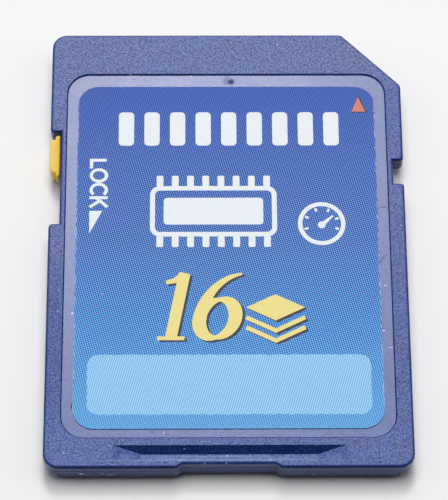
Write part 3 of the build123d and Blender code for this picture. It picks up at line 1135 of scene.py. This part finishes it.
@dataclass
class Label:
    """Film label and the plain marks printed on it."""

    film: LabelFilm = field(default_factory=LabelFilm)
    white: Ink = Ink("white_ink", srgb(232, 238, 243))
    yellow: Ink = Ink("yellow_ink", srgb(238, 223, 144), 0.05)
    shade: Ink = Ink("shade_ink", srgb(66, 70, 84))
    orange: Ink = Ink("orange_ink", srgb(217, 131, 114), 0.06)
    outline: Ink = Ink("outline_ink", srgb(70, 76, 106))
    rise: float = 0.005
    under_rise: float = 0.003
    ring_points: int = 72
    letter_points: int = 48
    arc_points: int = 40
    hub_points: int = 24
    bar_count: int = 9
    bar_ends: Pair = (-7.7, 8.0)
    bar_low: float = 7.31
    bar_high: float = 9.88
    bar_fill: float = 0.60
    bar_radius: float = 0.28
    chip_centre: Pair = (-0.92, 2.34)
    chip_half: Pair = (4.1, 1.72)
    chip_radius: float = 0.5
    chip_line: float = 0.34
    body_half: Pair = (3.35, 1.00)
    body_radius: float = 0.25
    pin_count: int = 8
    pin_half: Pair = (0.23, 0.40)
    pin_radius: float = 0.1
    pin_overlap: float = 0.02
    dial_centre: Pair = (6.34, 1.40)
    dial_radius: float = 1.45
    dial_line: float = 0.30
    tick_angles: tuple[float, ...] = (200.0, 155.0, 110.0, 65.0, 20.0, -20.0)
    tick_reach: Pair = (0.66, 0.84)
    tick_line: float = 0.16
    needle_angle: float = 42.0
    needle_reach: float = 0.72
    needle_lines: Pair = (0.34, 0.10)
    hub_drop: float = 0.1
    hub_radius: float = 0.26
    lock_base: float = -9.28
    lock_top: float = -8.03
    lock_line: float = 0.22
    lock_arrow: tuple[Pair, ...] = ((-8.40, 2.37), (-9.27, 2.37), (-9.25, 0.69))
    arrow: tuple[Pair, ...] = ((9.04, 11.06), (8.57, 9.92), (9.51, 9.92))
    arrow_rim: float = 1.17
    arrow_shift: Pair = (0.055, -0.030)
    number_corner: Pair = (-5.0, -7.1)
    number_height: float = 5.0
    number_slant: float = 11.0
    number_shift: Pair = (0.16, -0.13)
    pen_thick: float = 0.185
    pen_thin: float = 0.055
    pen_angle: float = 8.0
    tail_end: float = 0.033
    layer_centre: Pair = (3.15, -4.75)
    layer_half: Pair = (1.95, 0.95)
    layer_drops: Pair = (0.72, 1.44)
    layer_line: float = 0.30

    def dress(self) -> None:
        """Give the film its print."""
        dress(("front_label",), self.film.material())

    def build(self) -> list[bpy.types.Object]:
        """Print every mark on the film. A shadow or outline lies a little lower than what it is under.

        Returns:
            The printed pieces.
        """
        top = float(box_mm("front_label")[1][2])
        white = self.white.material()
        outline = self.outline.material()
        orange = self.orange.material()
        shade = self.shade.material()
        yellow = self.yellow.material()
        pieces = []
        for sheet, draw in (
            (Print("contact_row_print", white, top, self.rise), self.contact_row),
            (Print("chip_print", white, top, self.rise), self.chip),
            (Print("dial_print", white, top, self.rise), self.dial),
            (Print("lock_print", white, top, self.rise), self.lock_word),
            (Print("arrow_outline_print", outline, top, self.under_rise, self.arrow_shift), self.wide_arrow),
            (Print("arrow_print", orange, top, self.rise), self.insert_arrow),
            (Print("number_shade_print", shade, top, self.under_rise, self.number_shift), self.number),
            (Print("number_print", yellow, top, self.rise), self.number),
        ):
            draw(sheet)
            pieces.append(sheet.build())
        return pieces

    def contact_row(self, sheet: Print) -> None:
        """Row of bars, one for each contact: round-cornered boxes at an even pitch.

        Args:
            sheet: Print that takes the shapes.
        """
        left, right = self.bar_ends
        pitch = (right - left) / self.bar_count
        half = (pitch * self.bar_fill / 2.0, (self.bar_high - self.bar_low) / 2.0)
        middle = (self.bar_low + self.bar_high) / 2.0
        for index in range(self.bar_count):
            sheet.fill(rounded_box((left + (index + 0.5) * pitch, middle), half, self.bar_radius))

    def chip(self, sheet: Print) -> None:
        """Chip pictogram: a round-cornered frame and body, with a row of pins above and below.

        Args:
            sheet: Print that takes the shapes.
        """
        cx, cy = self.chip_centre
        sheet.stroke(rounded_box(self.chip_centre, self.chip_half, self.chip_radius), self.chip_line, True)
        sheet.fill(rounded_box(self.chip_centre, self.body_half, self.body_radius))
        reach = self.chip_half[0] - self.chip_radius
        rise = self.chip_half[1] + self.chip_line / 2.0 + self.pin_half[1] - self.pin_overlap
        for x in np.linspace(cx - reach, cx + reach, self.pin_count):
            for y in (cy - rise, cy + rise):
                sheet.fill(rounded_box((x, y), self.pin_half, self.pin_radius))

    def dial(self, sheet: Print) -> None:
        """Speed dial pictogram: a closed ring, ticks around its upper part, a needle and a hub.

        Args:
            sheet: Print that takes the shapes.
        """
        radius = self.dial_radius
        centre = np.array(self.dial_centre)
        sheet.stroke(ring(self.dial_centre, (radius, radius), self.ring_points), self.dial_line, True)
        for angle in self.tick_angles:
            sheet.stroke(centre + np.outer(self.tick_reach, heading(angle)) * radius, self.tick_line)
        hub = centre - np.array((0.0, self.hub_drop))
        tip = hub + heading(self.needle_angle) * self.needle_reach * radius
        sheet.stroke(np.array((hub, tip)), np.array(self.needle_lines))
        sheet.fill(ring(tuple(hub), (self.hub_radius, self.hub_radius), self.hub_points))

    def lock_word(self, sheet: Print) -> None:
        """Legend of the lock switch, read downwards, and the arrow to its locked end.

        Each stroke is drawn in a unit box that reads along X, then turned: up becomes +X and
        forward becomes -Y. With it come the place where its letter starts and the letter's width.

        Args:
            sheet: Print that takes the shapes.
        """
        height = self.lock_top - self.lock_base - self.lock_line
        foot = self.lock_base + self.lock_line / 2.0
        middle = (0.5, 0.5)
        for path, start, width, closed in (
            (((0.0, 1.0), (0.0, 0.0), (1.0, 0.0)), 6.20, 0.63, False),
            (ring(middle, middle, self.letter_points), 5.48, 0.88, True),
            (arc(middle, middle, 42.0, 318.0, self.arc_points), 4.38, 0.88, False),
            (((0.0, -0.1), (0.0, 1.1)), 3.36, 0.70, False),
            (((0.0, 0.34), (1.0, 1.08)), 3.36, 0.70, False),
            (((0.32, 0.58), (1.0, -0.08)), 3.36, 0.70, False),
        ):
            forward, up = np.array(path).T
            turned = np.column_stack((foot + up * height, start - forward * width))
            sheet.stroke(turned, self.lock_line, closed)
        sheet.fill(np.array(self.lock_arrow))

    def insert_arrow(self, sheet: Print) -> None:
        """Triangle that points to the contact end."""
        sheet.fill(np.array(self.arrow))

    def wide_arrow(self, sheet: Print) -> None:
        """The same triangle, grown about its middle, as an outline under it.

        Args:
            sheet: Print that takes the shape.
        """
        corners = np.array(self.arrow)
        middle = corners.mean(axis=0)
        sheet.fill(middle + (corners - middle) * self.arrow_rim)

    def number(self, sheet: Print) -> None:
        """Plain slanted number with a stack of layers beside it."""
        self.figures(sheet)
        self.layers(sheet)

    def figures(self, sheet: Print) -> None:
        """Draw a one and a six with a broad pen, in units of the figure height, then slant them.

        Args:
            sheet: Print that takes the strokes.
        """
        size = self.number_height
        lean = math.tan(math.radians(self.number_slant))
        shear = np.array(((1.0, 0.0), (lean, 1.0))) * size
        corner = np.array(self.number_corner)
        thick = self.pen_thick * size
        thin = self.pen_thin * size
        for path, widths in (
            (((0.24, 0.03), (0.24, 0.97)), 0.155),
            (((0.24, 0.955), (0.13, 0.86), (0.02, 0.83)), (0.10, 0.075, 0.05)),
            (((0.06, 0.028), (0.42, 0.028)), self.pen_thin),
        ):
            sheet.stroke(corner + np.array(path) @ shear, np.array(widths) * size)
        bowl = corner + ring((0.80, 0.31), (0.235, 0.275), self.ring_points) @ shear
        around = np.vstack((bowl[-1:], bowl, bowl[:1]))
        sheet.stroke(bowl, nib(around, thick, thin, self.pen_angle)[1:-1], True)
        tail = corner + arc((1.06, 0.36), (0.495, 0.60), 186.0, 96.0, self.arc_points) @ shear
        sheet.stroke(tail, np.linspace(thick, self.tail_end * size, len(tail)))

    def layers(self, sheet: Print) -> None:
        """Draw three stacked layers: a filled diamond over two chevrons.

        Args:
            sheet: Print that takes the shapes.
        """
        centre = np.array(self.layer_centre)
        diamond = np.array(((-1.0, 0.0), (0.0, -1.0), (1.0, 0.0), (0.0, 1.0))) * np.array(self.layer_half)
        sheet.fill(centre + diamond)
        for drop in self.layer_drops:
            sheet.stroke(centre + diamond[:3] - np.array((0.0, drop)), self.layer_line)


@dataclass(frozen=True)
class Softbox:
    """Rectangular lamp that faces the card, given by the angles that it fills."""

    name: str
    elevation: float
    side: float
    half_width: float
    half_depth: float
    radiance: float
    distance: float = 500.0

    def build(self) -> None:
        """Add the lamp: each size is twice the distance times the tangent of its half angle.

        The power is radiance times area times pi.
        """
        reach = self.distance * MM
        width = 2.0 * reach * math.tan(math.radians(self.half_width))
        depth = 2.0 * reach * math.tan(math.radians(self.half_depth))
        lamp = bpy.data.lights.new(self.name, "AREA")
        lamp.shape = "RECTANGLE"
        lamp.size = width
        lamp.size_y = depth
        lamp.energy = self.radiance * width * depth * math.pi
        up = math.radians(self.elevation)
        side = math.radians(self.side)
        way = Vector((math.sin(side), math.cos(up) * math.cos(side), math.sin(up) * math.cos(side)))
        holder = bpy.data.objects.new(self.name, lamp)
        holder.location = way * reach
        holder.rotation_euler = (-way).to_track_quat("-Z", "Y").to_euler()
        bpy.context.scene.collection.objects.link(holder)
        log.info("%s: %.0f by %.0f mm", self.name, width / MM, depth / MM)


@dataclass
class Studio:
    """Pale floor and a dim surround, under soft lamps.

    A bright strip behind the card and a large box above it give most of the light. A wide fill
    above, and faint glows behind and at both sides, soften the shadows.
    """

    floor_half: float = 1500.0
    floor_tint: Colour = srgb(247, 247, 247)
    floor_shade: Colour = srgb(244, 244, 244)
    floor_mottle: float = 60.0
    floor_roughness: float = 0.7
    floor_specular: float = 0.2
    lamps: tuple[Softbox, ...] = (
        Softbox("back_strip", 60.8, -0.3, 5.8, 6.5, 23.2),
        Softbox("top_box", 81.0, -0.3, 18.0, 12.0, 5.75),
        Softbox("top_fill", 82.0, 0.0, 42.0, 26.0, 0.10),
        Softbox("back_glow", 24.0, 0.0, 12.0, 14.0, 2.0),
        Softbox("left_glow", 80.0, -52.0, 20.0, 18.0, 0.76),
        Softbox("right_glow", 80.0, 52.0, 20.0, 18.0, 0.76),
    )
    surround: Colour = (0.030, 0.030, 0.030, 1.0)

    def build(self) -> None:
        """Set the stage, the lamps and the world."""
        self.floor()
        for lamp in self.lamps:
            lamp.build()
        self.world()

    def floor(self) -> None:
        """Square pale floor under the card, with a faint mottle."""
        graph = Graph("studio_floor")
        cloud = graph.noise(self.floor_mottle, SOFT_DETAIL)
        graph.shade("Base Color", graph.blend(cloud, self.floor_tint, self.floor_shade))
        graph.shade("Roughness", self.floor_roughness)
        graph.shade("Specular IOR Level", self.floor_specular)
        corners = np.array(((-1, -1, 0), (1, -1, 0), (1, 1, 0), (-1, 1, 0))) * self.floor_half * MM
        plane = put_mesh("studio_floor", corners, np.array(((0, 1, 2), (0, 2, 3))), graph.material)

    def world(self) -> None:
        """Dim even light from all around."""
        world = bpy.data.worlds.new("studio")
        bpy.context.scene.world = world
        world.use_nodes = True
        world.node_tree.nodes["Background"].inputs["Color"].default_value = self.surround


@dataclass
class PhotoCamera:
    """Camera at the photograph's viewing angle."""

    place: Place = (-2.155, -73.820, 157.208)
    turn: Place = (25.281, -0.536, -0.370)
    lens: float = 185.031
    sensor: float = 36.0
    nearest: float = 10.0

    def build(self) -> None:
        """Add the camera and make it the scene's own."""
        data = bpy.data.cameras.new("photo_camera")
        data.lens = self.lens
        data.sensor_width = self.sensor
        data.clip_start = self.nearest * MM
        camera = bpy.data.objects.new("photo_camera", data)
        camera.location = Vector(self.place) * MM
        camera.rotation_euler = tuple(math.radians(angle) for angle in self.turn)
        bpy.context.scene.collection.objects.link(camera)
        bpy.context.scene.camera = camera


def main() -> None:
    """Dress the card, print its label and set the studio."""
    logging.basicConfig(level=logging.INFO, format="%(message)s")
    bpy.context.scene.view_settings.view_transform = "Standard"
    PhotoCamera().build()
    Case().dress()
    Electronics().dress()
    label = Label()
    label.dress()
    pieces = label.build()
    log.info("%d printed pieces", len(pieces))
    Studio().build()


if __name__ == "__main__":
    main()
